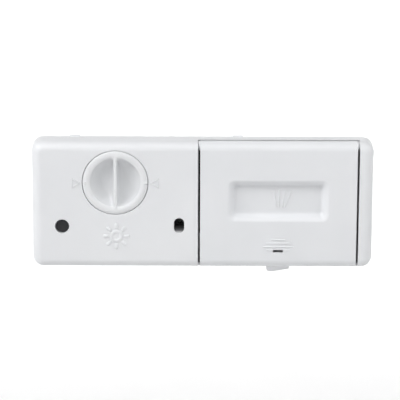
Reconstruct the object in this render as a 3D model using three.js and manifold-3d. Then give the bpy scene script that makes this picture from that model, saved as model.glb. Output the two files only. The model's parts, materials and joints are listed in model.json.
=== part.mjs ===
// A dishwasher's combined dispenser: detergent cup with a sprung flap lid, and a rinse-aid tank with a
// bayonet cap, worked by one wax motor from behind. Millimetres. +X is right, +Z is up, and -Y is the
// side that faces the wash tub. The origin is the middle of the plane in which the door's inner panel lies.
import * as THREE from "three";
import { mergeVertices } from "three/addons/utils/BufferGeometryUtils.js";
import Module from "manifold-3d";

const wasm = await Module();
wasm.setup();

// ---- driving dimensions ----
const BODY_WIDTH = 240;
const BODY_HEIGHT = 92;
const FRONT = -19; // front face
const RIM = -1; // back plane of the housing's rim
const CORNER = 7.5; // corner radius seen from the front
const EDGE = 6.6; // rounding between the front face and the sides
const WALL = 2.4;
const GAP = 0.3; // between pieces that touch
const PARTING = 1.5; // open gap on each side of the lid

const half = { x: BODY_WIDTH / 2, z: BODY_HEIGHT / 2 };
const inside = { x: half.x - WALL, z: half.z - WALL };

// The bay that holds the lid and the detergent cup.
const bay = { left: -3.2, right: 110.2, topEdge: -11.5, bottomEdge: -12.8, floor: RIM - WALL };
const web = { left: -8, right: 6.5 }; // wall between the rinse-aid side and the bay
const lid = {
  left: bay.left + PARTING,
  right: bay.right - PARTING,
  back: -13.3,
  thickness: 2.2,
};
const lidMiddle = (lid.left + lid.right) / 2;
const hinge = { y: -13, z: 42.5, rod: 1.25, bore: 1.5, barrel: 3.5, ear: 3.3, groove: 4.5, springBay: 2.5 };
const springs = [[1.2, 10.6], [105.8, 96.4]]; // each lid spring, from its outer end to its inner one
const dish = { width: 72, height: 31, z: 3.5, depth: 5.5, slope: 5, radius: 5 };
// Finger ridges, from the top one down; the slot's frame interrupts the last.
const grip = { pitch: 2.55, height: 1, proud: 0.4, widths: [9.8, 17.2, 21.8, 17.2], top: -24.8 };
const slot = { z: -33.4, width: 7, height: 1.9, frame: 1.2 };
const cup = { left: 9, right: 97, bottom: -24, top: 35.5, rim: -14, back: 10, wall: 2.2, radius: 8 };
const collar = { left: 3.5, right: 103, bottom: -26, top: 40, front: -8.3, back: -5.9 };

const cap = { x: -61.4, z: 16.7, radius: 23.1, front: -19.4, underside: -15.6, plug: 18.2, end: -7 };
const neck = { recess: 23.4, seat: -14, bore: 20.5, wall: WALL, collar: 2.9, end: -9.2, ledge: 18.6 };
const bayonet = { lug: 19.7, lugFront: -10.2, lugBack: -8.4, ledgeFront: -12.4, ledgeBack: -10.6 };
const dial = { radius: 8, front: -5.5, back: -3, bridgeBack: -0.9 };
const tank = { left: -105.1, right: -28, z: 39.6, wall: 2, seam: -9, back: 16 };
const sight = { x: -99, z: -15.3, radius: 4.7, flange: 5.2 };
const outlet = { x: -16.5, z: -14.6, width: 7.2, height: 11 };

const latch = { left: 45.5, right: 66, front: -9.5, back: -7, top: -29.8, bar: -33.2, sill: -40.2 };
const tab = { right: 61.8, bottom: -51.3, rightBottom: -49.2, flatEnd: 50.1, corner: 2.4 };
const leg = { left: 61, right: 65, bottom: -32.5, top: -29.8, back: 17.5 };
const rocker = { x: 34, z: -10, front: 14, back: 17, bore: 2.1, hub: 5 };
const motor = { left: 48, right: 86, bottom: 15, top: 31, front: 12.5, back: 28.5, axisZ: 24 };
const terminals = [19, 27]; // heights of the two spades
const piston = { x: -17, y: 15.5, bore: 5, top: 9, bottom: -20 };
const cover = { left: 6, right: 100, z: 39, front: 3, back: 32, wall: 2 };
const coverSlope = { from: 20, drop: 3.7 }; // the cover's top edge falls away towards the back
const coverPost = { top: 29.7, hole: 1.7, holeDepth: [20, 30] }; // posts that the cover is screwed to

const lugs = [-90.1, 24.7]; // along the rim's top edge
const coverScrews = [[14.5, -33.5], [16, 28], [92.5, 30.6], [92, -18]]; // the first stands on the housing
const clampScrews = [[-108.6, 22], [-108.6, -22], [108.6, 22], [108.6, -22]];
const motorScrews = [[90, 23], [52, 11]];

// ---- colours ----
const white = { color: 0xe6e8ea, roughness: 0.45, metalness: 0 };
const natural = { color: 0xdfe2dc, roughness: 0.5, metalness: 0 };
const black = { color: 0x2a2a2c, roughness: 0.4, metalness: 0 };
const rubber = { color: 0x26272a, roughness: 0.85, metalness: 0 };
const greyRubber = { color: 0x9a9c9c, roughness: 0.8, metalness: 0 };
const steel = { color: 0xb9bbbd, roughness: 0.35, metalness: 1 };
const brass = { color: 0xc9b98a, roughness: 0.35, metalness: 1 };

// ---- solids ----
function solidOf(geometry) {
  const bare = geometry.index ? geometry.toNonIndexed() : geometry.clone();
  bare.deleteAttribute("normal");
  bare.deleteAttribute("uv");
  const merged = mergeVertices(bare, 1e-4);
  return new wasm.Manifold(
    new wasm.Mesh({
      numProp: 3,
      vertProperties: new Float32Array(merged.attributes.position.array),
      triVerts: new Uint32Array(merged.index.array),
    }),
  );
}

function geometryOf(solid) {
  const mesh = solid.getMesh();
  const geometry = new THREE.BufferGeometry();
  geometry.setAttribute("position", new THREE.BufferAttribute(mesh.vertProperties, 3));
  geometry.setIndex(new THREE.BufferAttribute(mesh.triVerts, 1));
  return geometry;
}

// A block between two limits along each axis.
function block([x0, x1], [y0, y1], [z0, z1]) {
  const geometry = new THREE.BoxGeometry(x1 - x0, y1 - y0, z1 - z0);
  return solidOf(geometry.translate((x0 + x1) / 2, (y0 + y1) / 2, (z0 + z1) / 2));
}

// An outline drawn in X and Z, made solid from one Y to another.
function plate(outline, [y0, y1], curveSegments = 2) {
  const options = { depth: y1 - y0, bevelEnabled: false, curveSegments };
  return solidOf(new THREE.ExtrudeGeometry(outline, options).rotateX(Math.PI / 2).translate(0, y1, 0));
}

function roundedOutline([x0, x1], [z0, z1], radius) {
  const outline = new THREE.Shape();
  outline.moveTo(x0 + radius, z0);
  outline.lineTo(x1 - radius, z0);
  outline.absarc(x1 - radius, z0 + radius, radius, -Math.PI / 2, 0);
  outline.lineTo(x1, z1 - radius);
  outline.absarc(x1 - radius, z1 - radius, radius, 0, Math.PI / 2);
  outline.lineTo(x0 + radius, z1);
  outline.absarc(x0 + radius, z1 - radius, radius, Math.PI / 2, Math.PI);
  outline.lineTo(x0, z0 + radius);
  outline.absarc(x0 + radius, z0 + radius, radius, Math.PI, 1.5 * Math.PI);
  return outline;
}

function roundedBlock(x, y, z, radius) {
  return plate(roundedOutline(x, z, radius), y);
}

// A round bar along Y, X or Z.
function barY([x, z], radius, [y0, y1], sides = 16) {
  const geometry = new THREE.CylinderGeometry(radius, radius, y1 - y0, sides);
  return solidOf(geometry.translate(x, (y0 + y1) / 2, z));
}

function barX([y, z], radius, [x0, x1], sides = 16) {
  const geometry = new THREE.CylinderGeometry(radius, radius, x1 - x0, sides);
  return solidOf(geometry.rotateZ(Math.PI / 2).translate((x0 + x1) / 2, y, z));
}

function barZ([x, y], radius, [z0, z1], sides = 16) {
  const geometry = new THREE.CylinderGeometry(radius, radius, z1 - z0, sides);
  return solidOf(geometry.rotateX(Math.PI / 2).translate(x, y, (z0 + z1) / 2));
}

// A straight arm with flat sides between two points in the X-Z plane.
function arm([x0, z0], [x1, z1], width, [y0, y1]) {
  const length = Math.hypot(x1 - x0, z1 - z0);
  const geometry = new THREE.BoxGeometry(length, y1 - y0, width);
  geometry.rotateY(-Math.atan2(z1 - z0, x1 - x0));
  return solidOf(geometry.translate((x0 + x1) / 2, (y0 + y1) / 2, (z0 + z1) / 2));
}

// A sector of a ring round a Y axis, between two angles measured from +X towards +Z.
function ringSector([x, z], inner, outer, [y0, y1], from, to) {
  const outline = new THREE.Shape();
  outline.absarc(x, z, outer, from, to, false);
  outline.absarc(x, z, inner, to, from, true);
  return plate(outline, [y0, y1], 5);
}

// A spring's wire along a list of points.
function wire(points, radius, steps) {
  const path = new THREE.CatmullRomCurve3(points);
  const section = new THREE.Shape();
  section.absarc(0, 0, radius, 0, 2 * Math.PI);
  const options = { steps, extrudePath: path, curveSegments: 3 };
  return solidOf(new THREE.ExtrudeGeometry(section, options));
}

function join(...solids) {
  return solids.reduce((whole, next) => whole.add(next));
}

// The rounded block that the housing and the lid are both cut from.
function softBody() {
  const outline = roundedOutline([-half.x, half.x], [-half.z, half.z], CORNER);
  const options = {
    depth: 2 * (RIM - FRONT) - 2 * EDGE,
    bevelThickness: EDGE,
    bevelSize: EDGE,
    bevelOffset: -EDGE,
    bevelSegments: 4,
    curveSegments: 3,
  };
  const geometry = new THREE.ExtrudeGeometry(outline, options).rotateX(Math.PI / 2);
  const deepest = 2 * (RIM - FRONT) - EDGE;
  geometry.translate(0, FRONT + deepest, 0);
  return solidOf(geometry).intersect(block([-130, 130], [FRONT - 1, RIM], [-60, 60]));
}

// ---- housing ----
function neckWalls() {
  const at = [cap.x, cap.z];
  return barY(at, neck.recess + neck.collar, [FRONT + 2, neck.seat + WALL], 32).add(
    barY(at, neck.bore + neck.wall, [neck.seat, neck.end], 32),
  );
}

function neckHollow() {
  const at = [cap.x, cap.z];
  return barY(at, neck.recess, [FRONT - 1, neck.seat], 40).add(
    barY(at, neck.bore, [neck.seat - 1, neck.end + 1], 32),
  );
}

// Two ledges inside the neck that hold the cap's lugs once it is turned.
function neckLedges() {
  const ledges = [];
  for (const middle of [Math.PI / 2, -Math.PI / 2]) {
    const y = [bayonet.ledgeFront, bayonet.ledgeBack];
    ledges.push(ringSector([cap.x, cap.z], neck.ledge, neck.bore + 1, y, middle - 0.85, middle + 0.85));
  }
  return join(...ledges);
}

// The bar across the neck's inner end that carries the dosage dial.
function dialBridge() {
  const reach = neck.bore + neck.wall;
  const z = [cap.z - 4, cap.z + 4];
  const bar = block([cap.x - reach, cap.x + reach], [dial.back + GAP, dial.bridgeBack], z);
  const posts = [-1, 1].map((side) => {
    const x = [cap.x + side * neck.bore, cap.x + side * reach].sort((a, b) => a - b);
    return block(x, [neck.end - 1, dial.bridgeBack], z);
  });
  return join(bar, ...posts).subtract(barY([cap.x, cap.z], 2.3, [-10, 5], 16));
}

// A room behind the front face. It steps in where the front's rounded edge would leave the wall thin.
function hollow([x0, x1], radius) {
  const step = 2;
  const full = roundedBlock([x0, x1], [FRONT + WALL + step, 1], [-inside.z, inside.z], radius);
  const narrow = {
    x: [x0 === -inside.x ? x0 + step : x0, x1 === inside.x ? x1 - step : x1],
    z: [-inside.z + step, inside.z - step],
  };
  return full.add(roundedBlock(narrow.x, [FRONT + WALL, FRONT + WALL + step + 1], narrow.z, radius / 2));
}

function frontHousing() {
  const bayX = [bay.left, bay.right];
  let body = softBody();
  body = body.subtract(hollow([-inside.x, web.left], 5));
  body = body.subtract(block(bayX, [FRONT - 1, bay.floor], [-inside.z, inside.z]));
  body = body.subtract(block(bayX, [FRONT - 1, bay.topEdge], [inside.z - 1, half.z + 1]));
  body = body.subtract(barX([hinge.y, hinge.z], hinge.groove, bayX, 32));
  body = body.subtract(block(bayX, [FRONT - 1, bay.bottomEdge], [-half.z - 1, -inside.z + 1]));
  body = body.subtract(hollow([bay.right + WALL, inside.x], 2.4));
  // Middle pad in the door panel's plane, locating lugs on the rim, and the rails of the latch slider.
  body = body.add(block([-4, 4], [RIM - 1, 0], [-12, 12]));
  for (const x of lugs) {
    body = body.add(block([x - 3.7, x + 3.7], [RIM - 2, RIM], [half.z - 1.5, half.z + 0.9]));
  }
  for (const x of [-half.x, half.x]) body = body.add(block([x - 1, x + 1], [RIM - 2, RIM], [33, 37]));
  for (const x of [latch.left - 2.6, latch.right + 0.4]) {
    body = body.add(block([x, x + 2.2], [latch.front, bay.floor + 0.5], [-41.5, -31]));
  }
  // Rib that the rinse-aid tank is welded to.
  const ribY = [FRONT + 1, tank.seam];
  const rib = roundedBlock([tank.left, tank.right], ribY, [-tank.z, tank.z], 6).subtract(
    roundedBlock(
      [tank.left + tank.wall, tank.right - tank.wall],
      [FRONT, 0],
      [-tank.z + tank.wall, tank.z - tank.wall],
      4,
    ),
  );
  body = join(body, rib, neckWalls()).subtract(neckHollow());
  body = join(body, neckLedges(), dialBridge());
  for (const [x, z] of clampScrews) {
    body = body.add(barY([x, z], 3.2, [x < 0 ? FRONT + 1.5 : bay.floor, 3.2]));
  }
  body = body.add(barY(coverScrews[0], 3.2, [bay.floor, coverPost.top]));
  for (const at of clampScrews) body = body.subtract(barY(at, 2.1, [-2.9, 4]));
  body = body.subtract(barY(coverScrews[0], coverPost.hole, coverPost.holeDepth));
  // Openings: detergent cup, latch leg and tab, hinge rod, sight glass and rinse-aid outlet.
  body = body.subtract(
    roundedBlock([web.right, 99.5], [bay.floor - 1, RIM + 0.5], [cup.bottom - 1.5, 37.5], 8),
  );
  const legWindow = { x: [leg.left - 0.8, leg.right + 0.8], z: [leg.bottom - 0.8, leg.top + 2.6] };
  body = body.subtract(block(legWindow.x, [bay.floor - 0.6, 0], legWindow.z));
  const tabSlot = [latch.left - 0.4, tab.right + 0.4];
  body = body.subtract(block(tabSlot, [latch.front - 0.4, latch.back + 0.4], [-half.z - 1, -half.z + 3.5]));
  body = body.subtract(barX([hinge.y, hinge.z], hinge.rod + 0.2, [-6.5, bay.right + 3]));
  body = body.subtract(barY([sight.x, sight.z], sight.radius + GAP, [FRONT - 1, FRONT + WALL + 1]));
  body = body.subtract(barY([sight.x, sight.z], sight.flange + GAP, [FRONT + WALL, FRONT + WALL + 2]));
  const [w, h] = [outlet.width / 2, outlet.height / 2];
  const mouth = roundedOutline([outlet.x - w, outlet.x + w], [outlet.z - h, outlet.z + h], w - 0.01);
  return body.subtract(plate(mouth, [FRONT - 1, FRONT + WALL + 1], 6));
}

function doorGasket() {
  const y = [RIM + GAP, 2.2];
  const edge = { x: half.x - 1.5, z: half.z - 1.4 };
  const hole = { x: edge.x - 6, z: edge.z - 4 };
  const outer = roundedBlock([-edge.x, edge.x], y, [-edge.z, edge.z], 6.5);
  return outer.subtract(roundedBlock([-hole.x, hole.x], [-2, 4], [-hole.z, hole.z], 4));
}

function detergentCup() {
  const walls = [cup.left, cup.right];
  const z = [cup.bottom, cup.top];
  let body = roundedBlock(walls, [cup.rim, cup.back], z, cup.radius);
  const flange = [collar.front, collar.back];
  body = body.add(roundedBlock([collar.left, collar.right], flange, [collar.bottom, collar.top], 6));
  const w = cup.wall;
  body = body.subtract(
    roundedBlock([cup.left + w, cup.right - w], [cup.rim - 1, cup.back - w], [z[0] + w, z[1] - w], 6),
  );
  // Pads on the back for the rocker, the wax motor, the cover and the latch spring.
  const root = cup.back - 0.5;
  const coverPosts = coverScrews.slice(1);
  body = body.add(barY([rocker.x, rocker.z], 4.5, [root, rocker.front - GAP]));
  for (const at of motorScrews) body = body.add(barY(at, 3.5, [root, motor.front - GAP]));
  for (const at of coverPosts) body = body.add(barY(at, 3.2, [root, coverPost.top]));
  body = body.add(block([58.5, 67.5], [root, leg.back], [-13, -10.5]));
  body = body.subtract(barY([rocker.x, rocker.z], rocker.bore, [cup.back - 1.2, 20], 20));
  for (const at of motorScrews) body = body.subtract(barY(at, 1.9, [cup.back - 1.2, 14]));
  for (const at of coverPosts) body = body.subtract(barY(at, coverPost.hole, coverPost.holeDepth));
  return body;
}

function cupGasket() {
  const y = [collar.back + GAP, bay.floor - GAP];
  const ring = roundedBlock([bay.left + 0.5, bay.right - 0.5], y, [-26.8, 42], 5);
  const hole = { x: [cup.left - 0.5, cup.right + 0.5], z: [cup.bottom - 0.5, cup.top + 0.5] };
  return ring.subtract(roundedBlock(hole.x, [-9, 0], hole.z, cup.radius));
}

// ---- lid ----
// The shallow dish for prewash detergent, as a block whose sides slope in towards its floor.
function dishBlock(grow, front, floor) {
  const slope = dish.slope * (floor - front) / dish.depth;
  const outline = roundedOutline(
    [lidMiddle - dish.width / 2 - grow + slope, lidMiddle + dish.width / 2 + grow - slope],
    [dish.z - dish.height / 2 - grow + slope, dish.z + dish.height / 2 + grow - slope],
    dish.radius,
  );
  const depth = floor - front;
  const bevel = { bevelThickness: depth, bevelSize: slope, bevelSegments: 1 };
  const options = { depth: 0.02, curveSegments: 3, ...bevel };
  const geometry = new THREE.ExtrudeGeometry(outline, options).rotateX(Math.PI / 2).translate(0, front, 0);
  return solidOf(geometry).intersect(block([-5, 120], [front - 0.01, floor], [-40, 40]));
}

function detergentLid() {
  const x = [lid.left, lid.right];
  let body = softBody().intersect(block(x, [FRONT - 1, lid.back], [-half.z, half.z]));
  const skirt = { x: [x[0] + lid.thickness, x[1] - lid.thickness], z: half.z - lid.thickness };
  const innerFace = FRONT + lid.thickness;
  body = body.subtract(roundedBlock(skirt.x, [innerFace, 0], [-skirt.z, skirt.z], 2));
  body = body.add(dishBlock(lid.thickness, innerFace - 0.5, FRONT + dish.depth + lid.thickness));
  body = body.subtract(dishBlock(0, FRONT, FRONT + dish.depth));
  // The hinge barrel along the back of the top edge, with an ear at each end that reaches across the
  // parting gap, and a bay under the barrel for each spring.
  const at = [hinge.y, hinge.z];
  body = body.add(barX(at, hinge.barrel, x, 32));
  body = body.add(barX(at, hinge.ear, [bay.left + GAP, bay.right - GAP], 20));
  for (const span of springs) {
    const [x0, x1] = [Math.min(...span) - 0.8, Math.max(...span) + 0.8];
    body = body.subtract(barX(at, hinge.springBay, [x0, x1], 24));
    const deep = [hinge.y - hinge.springBay, hinge.y + 5];
    body = body.subtract(block([x0, x1], deep, [hinge.z - 5.5, hinge.z]));
  }
  body = body.subtract(barX(at, hinge.bore, [bay.left - 1, bay.right + 1]));
  // Ridges for the finger that presses the lid shut, and the raised frame of the slot below them.
  const middle = lidMiddle;
  const proud = [FRONT - grip.proud, FRONT + 0.5];
  grip.widths.forEach((width, row) => {
    const z = grip.top - row * grip.pitch;
    const tall = [z - grip.height / 2, z + grip.height / 2];
    body = body.add(block([middle - width / 2, middle + width / 2], proud, tall));
  });
  const frame = { x: slot.width / 2 + slot.frame, z: slot.height / 2 + slot.frame };
  body = body.add(block([middle - frame.x, middle + frame.x], proud, [slot.z - frame.z, slot.z + frame.z]));
  // Hook with its barb, and the slot in front of the barb.
  body = body.add(block([middle - 3.6, middle + 3.6], [innerFace - 1, -4.6], [-37.2, -35.2]));
  body = body.add(block([middle - 3.6, middle + 3.6], [-6.7, -4.6], [-37.2, -31.8]));
  const opening = {
    x: [middle - slot.width / 2, middle + slot.width / 2],
    z: [slot.z - slot.height / 2, slot.z + slot.height / 2],
  };
  return body.subtract(block(opening.x, [FRONT - 1, innerFace + 0.5], opening.z));
}

function lidSeal() {
  const y = [FRONT + lid.thickness + GAP, cup.rim - GAP];
  const outer = roundedBlock([cup.left + 0.2, cup.right - 0.2], y, [cup.bottom + 0.2, cup.top - 0.2], 7.8);
  const w = 2.3;
  return outer.subtract(
    roundedBlock([cup.left + w, cup.right - w], [-18, -12], [cup.bottom + w, cup.top - w], 5.7),
  );
}

// A torsion spring round the hinge rod: one leg lies down the lid's back, the other on the cup's collar.
function lidSpring([x0, x1]) {
  const coil = 1.8;
  const perTurn = 8;
  const last = 4.5 * perTurn;
  const points = [[x0, hinge.y - coil, hinge.z - 10], [x0, hinge.y - coil, hinge.z - 3]];
  for (let i = 0; i <= last; i++) {
    const angle = (i / perTurn) * 2 * Math.PI;
    const x = x0 + (i / last) * (x1 - x0);
    points.push([x, hinge.y - coil * Math.cos(angle), hinge.z + coil * Math.sin(angle)]);
  }
  points.push([x1, hinge.y + coil, hinge.z - 3], [x1, collar.front - 0.9, hinge.z - 7]);
  return wire(points.map((point) => new THREE.Vector3(...point)), 0.3, 44);
}

// ---- rinse-aid side ----
function rinseTank() {
  const y = [tank.seam + GAP, tank.back];
  const outer = roundedBlock([tank.left, tank.right], y, [-tank.z, tank.z], 6);
  const t = tank.wall;
  const hollow = roundedBlock(
    [tank.left + t, tank.right - t],
    [tank.seam - 1, tank.back - t],
    [-tank.z + t, tank.z - t],
    4,
  );
  return outer.subtract(hollow);
}

function sightLens() {
  const at = [sight.x, sight.z];
  const flange = barY(at, sight.flange, [FRONT + WALL + GAP, FRONT + WALL + 1.6]);
  const disc = barY(at, sight.radius, [FRONT + 0.3, FRONT + WALL + 1]);
  return join(disc, flange, barY(at, 3.4, [-16, -8], 16));
}

function outletNozzle() {
  const y = [FRONT + WALL + GAP, -8.6];
  const frame = 1.8;
  const x = [outlet.x - outlet.width / 2, outlet.x + outlet.width / 2];
  const z = [outlet.z - outlet.height / 2, outlet.z + outlet.height / 2];
  const outer = roundedBlock([x[0] - frame, x[1] + frame], y, [z[0] - frame, z[1] + frame], 2);
  const mouth = roundedBlock(x, [-18, -10.2], z, 3);
  return outer.subtract(mouth).subtract(barY([outlet.x, -13.5], 1.5, [-12, -8], 12));
}

function dosingBody() {
  const { x, y, bore, top, bottom } = piston;
  const block1 = roundedBlock([x - 7, x + 7], [y - 7, y + 7], [bottom - 2.5, top - 6], 2);
  const snout = block([x - 4.5, x + 4.5], [-8.3, y - 6.5], [-19, -9]);
  const inlet = barX([4, -14], 3, [tank.right + GAP, x - 4], 16);
  const solid = join(block1, snout, inlet);
  const passage = barY([outlet.x, -13.5], 1.5, [-9, y - 1], 12);
  return solid.subtract(barZ([x, y], bore, [bottom, top])).subtract(passage);
}

function dosingPiston() {
  const { x, y, bore } = piston;
  const head = barZ([x, y], bore - 0.4, [-9, -3]);
  const groove = barZ([x, y], bore - 0.2, [-7, -5]).subtract(barZ([x, y], 3.4, [-7, -5]));
  const stem = barZ([x, y], 2, [-4, 8.6], 14);
  return join(head.subtract(groove), stem, barZ([x, y], 4.4, [7.2, 9], 16));
}

function pistonSeal() {
  const { x, y, bore } = piston;
  return barZ([x, y], bore - 0.15, [-6.8, -5.2], 20).subtract(barZ([x, y], 3.6, [-8, -4], 20));
}

function helix(x, y, radius, z0, z1, turns, wireRadius) {
  const perTurn = 9;
  const points = [];
  for (let i = 0; i <= turns * perTurn; i++) {
    const angle = (i / perTurn) * 2 * Math.PI;
    const z = z0 + (i / (turns * perTurn)) * (z1 - z0);
    points.push(new THREE.Vector3(x + radius * Math.cos(angle), y + radius * Math.sin(angle), z));
  }
  return wire(points, wireRadius, turns * 9);
}

// ---- cap ----
function rinseCap() {
  const at = [cap.x, cap.z];
  let body = barY(at, cap.radius, [cap.front, cap.underside], 40).add(
    barY(at, cap.plug, [cap.underside - 0.5, cap.end], 32),
  );
  for (const middle of [0, Math.PI]) {
    const y = [bayonet.lugFront, bayonet.lugBack];
    body = body.add(ringSector(at, cap.plug - 1, bayonet.lug, y, middle - 0.45, middle + 0.45));
  }
  for (const side of [-1, 1]) {
    const mark = cap.x + side * (cap.radius - 1.6);
    const tick = [cap.z - 0.8, cap.z + 0.4];
    body = body.add(block([mark - 1.2, mark + 1.2], [cap.front - 0.4, cap.front + 0.5], tick));
  }
  // A bowl for the fingers on each side of the central rib.
  const bowl = new THREE.SphereGeometry(1, 24, 12).scale(18.4, 10, 18.4);
  let hollow = solidOf(bowl.translate(cap.x, cap.front, cap.z));
  hollow = hollow.subtract(block([cap.x - 1.4, cap.x + 1.4], [-30, 0], [-20, 50]));
  return body.subtract(hollow);
}

function capSeal() {
  const at = [cap.x, cap.z];
  const ring = barY(at, 22.9, [cap.underside + GAP, neck.seat - GAP], 32);
  return ring.subtract(barY(at, 20.9, [-17, -12], 32));
}

function doseDial() {
  const at = [cap.x, cap.z];
  const disc = barY(at, dial.radius, [dial.front, dial.back], 32);
  const stem = barY(at, 2, [dial.back - 0.5, 2.5], 14);
  const pointer = block([cap.x - 1, cap.x + 1], [dial.front - 1, dial.front + 0.5], [cap.z - 6, cap.z + 7.4]);
  return join(disc, stem, pointer);
}

// ---- mechanism ----
function latchSlider() {
  const y = [latch.front, latch.back];
  let body = block([latch.left, latch.right], y, [-42.2, latch.top]);
  // The tab that shows below the housing, its lower end slanting up to the right.
  const outline = new THREE.Shape();
  const top = -42;
  const cornerZ = tab.bottom + tab.corner;
  outline.moveTo(latch.left, top);
  outline.lineTo(latch.left, cornerZ);
  outline.absarc(latch.left + tab.corner, cornerZ, tab.corner, Math.PI, 1.5 * Math.PI);
  outline.lineTo(tab.flatEnd, tab.bottom);
  outline.lineTo(tab.right, tab.rightBottom);
  outline.lineTo(tab.right, top);
  body = body.add(plate(outline, y));
  body = body.subtract(block([lidMiddle - 4.6, lidMiddle + 4.6], [-12, -5], [latch.sill, latch.bar]));
  return body.add(block([leg.left, leg.right], [latch.back - 0.5, leg.back], [leg.bottom, leg.top]));
}

function driveRocker() {
  const y = [rocker.front, rocker.back];
  const pivot = [rocker.x, rocker.z];
  const [piston0, piston1] = [[-17, 15], [-17, 11.6]];
  const [latch0, latch1] = [[56.5, -34.6], [62, -34.6]];
  const push = [34, 25.5];
  return join(
    barY(pivot, rocker.hub, y),
    arm(pivot, piston0, 4, y),
    arm(piston0, piston1, 4.6, y),
    barY(piston0, 2.3, y, 16),
    barY(piston1, 2.3, y, 16),
    arm(pivot, latch0, 3.6, y),
    arm(latch0, latch1, 3.6, y),
    barY(latch0, 1.8, y, 16),
    barY(latch1, 1.8, y, 16),
    arm(pivot, push, 6, y),
    barY(push, 3, y, 16),
  ).subtract(barY(pivot, rocker.bore, [10, 20], 20));
}

function rockerPin() {
  const at = [rocker.x, rocker.z];
  return barY(at, rocker.bore - GAP, [cup.back - 0.9, 19.5], 20);
}

function rockerClip() {
  const at = [rocker.x, rocker.z];
  return barY(at, 4, [rocker.back + GAP, rocker.back + 1.1], 20).subtract(barY(at, 2, [10, 20], 20));
}

function waxMotor() {
  const { left, right, bottom, top, front, back, axisZ } = motor;
  let body = roundedBlock([left, right], [front, back], [bottom, top], 2.5);
  body = body.add(barX([20.5, axisZ], 5, [left - 4, left + 1], 20));
  for (const [x, z] of motorScrews) body = body.add(barY([x, z], 3.8, [front, front + 3]));
  body = body.add(block([right - 1, 90], [front, front + 3], [19.2, 26.8]));
  body = body.add(block([48.2, 55.8], [front, front + 3], [11, 16]));
  body = body.subtract(barX([20.5, axisZ], 2.4, [left - 6, left + 14], 16));
  for (const [x, z] of motorScrews) body = body.subtract(barY([x, z], 2, [front - 1, front + 4], 16));
  for (const z of terminals) {
    body = body.subtract(block([73, 80.4], [back - 4, back + 1], [z - 0.8, z + 0.8]));
  }
  return body;
}

function motorPlunger() {
  const rest = rocker.x + 3 + GAP;
  return barX([20.5, motor.axisZ], 2, [rest, motor.left + 8]).intersect(
    block([rest, 90], [0, 40], [0, 50]),
  );
}

function terminal(z) {
  return block([73.5, 79.8], [motor.back - 3.7, 37], [z - 0.4, z + 0.4]);
}

// The part of a solid that lies under the cover's sloping top edge, or further in by an inset.
function underSlope(solid, inset) {
  const run = cover.back - coverSlope.from;
  const length = Math.hypot(run, coverSlope.drop);
  const reach = (coverSlope.drop * coverSlope.from + run * cover.z) / length - inset;
  return solid.trimByPlane([0, -coverSlope.drop / length, -run / length], -reach);
}

function mechanismCover() {
  const { left, right, front, back, wall } = cover;
  let body = underSlope(roundedBlock([left, right], [front, back], [-cover.z, cover.z], 4), 0);
  const room = { x: [left + wall, right - wall], z: [-cover.z + wall, cover.z - wall] };
  body = body.subtract(underSlope(roundedBlock(room.x, [front - 1, back - wall], room.z, 2.5), wall));
  body = body.subtract(block([70.5, 83], [back - 4, back + 1], [15, 31]));
  // Slot through which the rocker's arm reaches the dosing pump.
  body = body.subtract(block([left - 1, left + wall + 1], [12.5, 18.5], [-4.5, 8]));
  for (const [x, z] of coverScrews) body = body.subtract(barY([x, z], 2, [back - 4, back + 1], 16));
  return body;
}

function screw([x, z], head, shaft, headY, tip) {
  const body = barY([x, z], head, headY, 20).add(barY([x, z], shaft, [tip, headY[0] + 0.5], 12));
  const drive = join(
    block([x - head * 0.6, x + head * 0.6], [headY[1] - 0.9, headY[1] + 1], [z - 0.4, z + 0.4]),
    block([x - 0.4, x + 0.4], [headY[1] - 0.9, headY[1] + 1], [z - head * 0.6, z + head * 0.6]),
  );
  return body.subtract(drive);
}

function clampBar(side) {
  const x = [side * 105.4, side * 119].sort((a, b) => a - b);
  let body = roundedBlock(x, [3.5, 5], [-30, 30], 3);
  // A folded lip along the outer edge stiffens the bar.
  const lip = [side * 117.5, side * 119].sort((a, b) => a - b);
  body = body.add(block(lip, [4, 9], [-26, 26]));
  for (const [sx, sz] of clampScrews) body = body.subtract(barY([sx, sz], 2.3, [3, 6], 16));
  return body;
}

// ---- assembly ----
const dispenser = new THREE.Group();

function place(name, solid, colouring) {
  const mesh = new THREE.Mesh(geometryOf(solid), new THREE.MeshStandardMaterial(colouring));
  mesh.name = name;
  dispenser.add(mesh);
}

place("front_housing", frontHousing(), white);
place("door_gasket", doorGasket(), rubber);
place("detergent_cup", detergentCup(), white);
place("cup_gasket", cupGasket(), rubber);
place("detergent_lid", detergentLid(), white);
place("lid_seal", lidSeal(), greyRubber);
place("hinge_rod", barX([hinge.y, hinge.z], hinge.rod, [-6.2, bay.right + 2.4]), steel);
place("lid_spring_left", lidSpring(springs[0]), steel);
place("lid_spring_right", lidSpring(springs[1]), steel);

place("rinse_tank", rinseTank(), natural);
place("sight_lens", sightLens(), black);
place("outlet_nozzle", outletNozzle(), black);
place("dosing_body", dosingBody(), natural);
place("dosing_piston", dosingPiston(), white);
place("piston_seal", pistonSeal(), rubber);
place("piston_spring", helix(piston.x, piston.y, 3.6, -19.4, -9.6, 4, 0.4), steel);
place("rinse_cap", rinseCap(), white);
place("cap_seal", capSeal(), rubber);
place("dose_dial", doseDial(), natural);

place("latch_slider", latchSlider(), white);
place("latch_spring", helix(63, 15, 2.3, leg.top + 0.8, -13.8, 5, 0.4), steel);
place("drive_rocker", driveRocker(), natural);
place("rocker_pin", rockerPin(), steel);
place("rocker_clip", rockerClip(), steel);
place("wax_motor", waxMotor(), black);
place("motor_plunger", motorPlunger(), white);
place("terminal_lower", terminal(terminals[0]), brass);
place("terminal_upper", terminal(terminals[1]), brass);
place("mechanism_cover", mechanismCover(), white);

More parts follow.
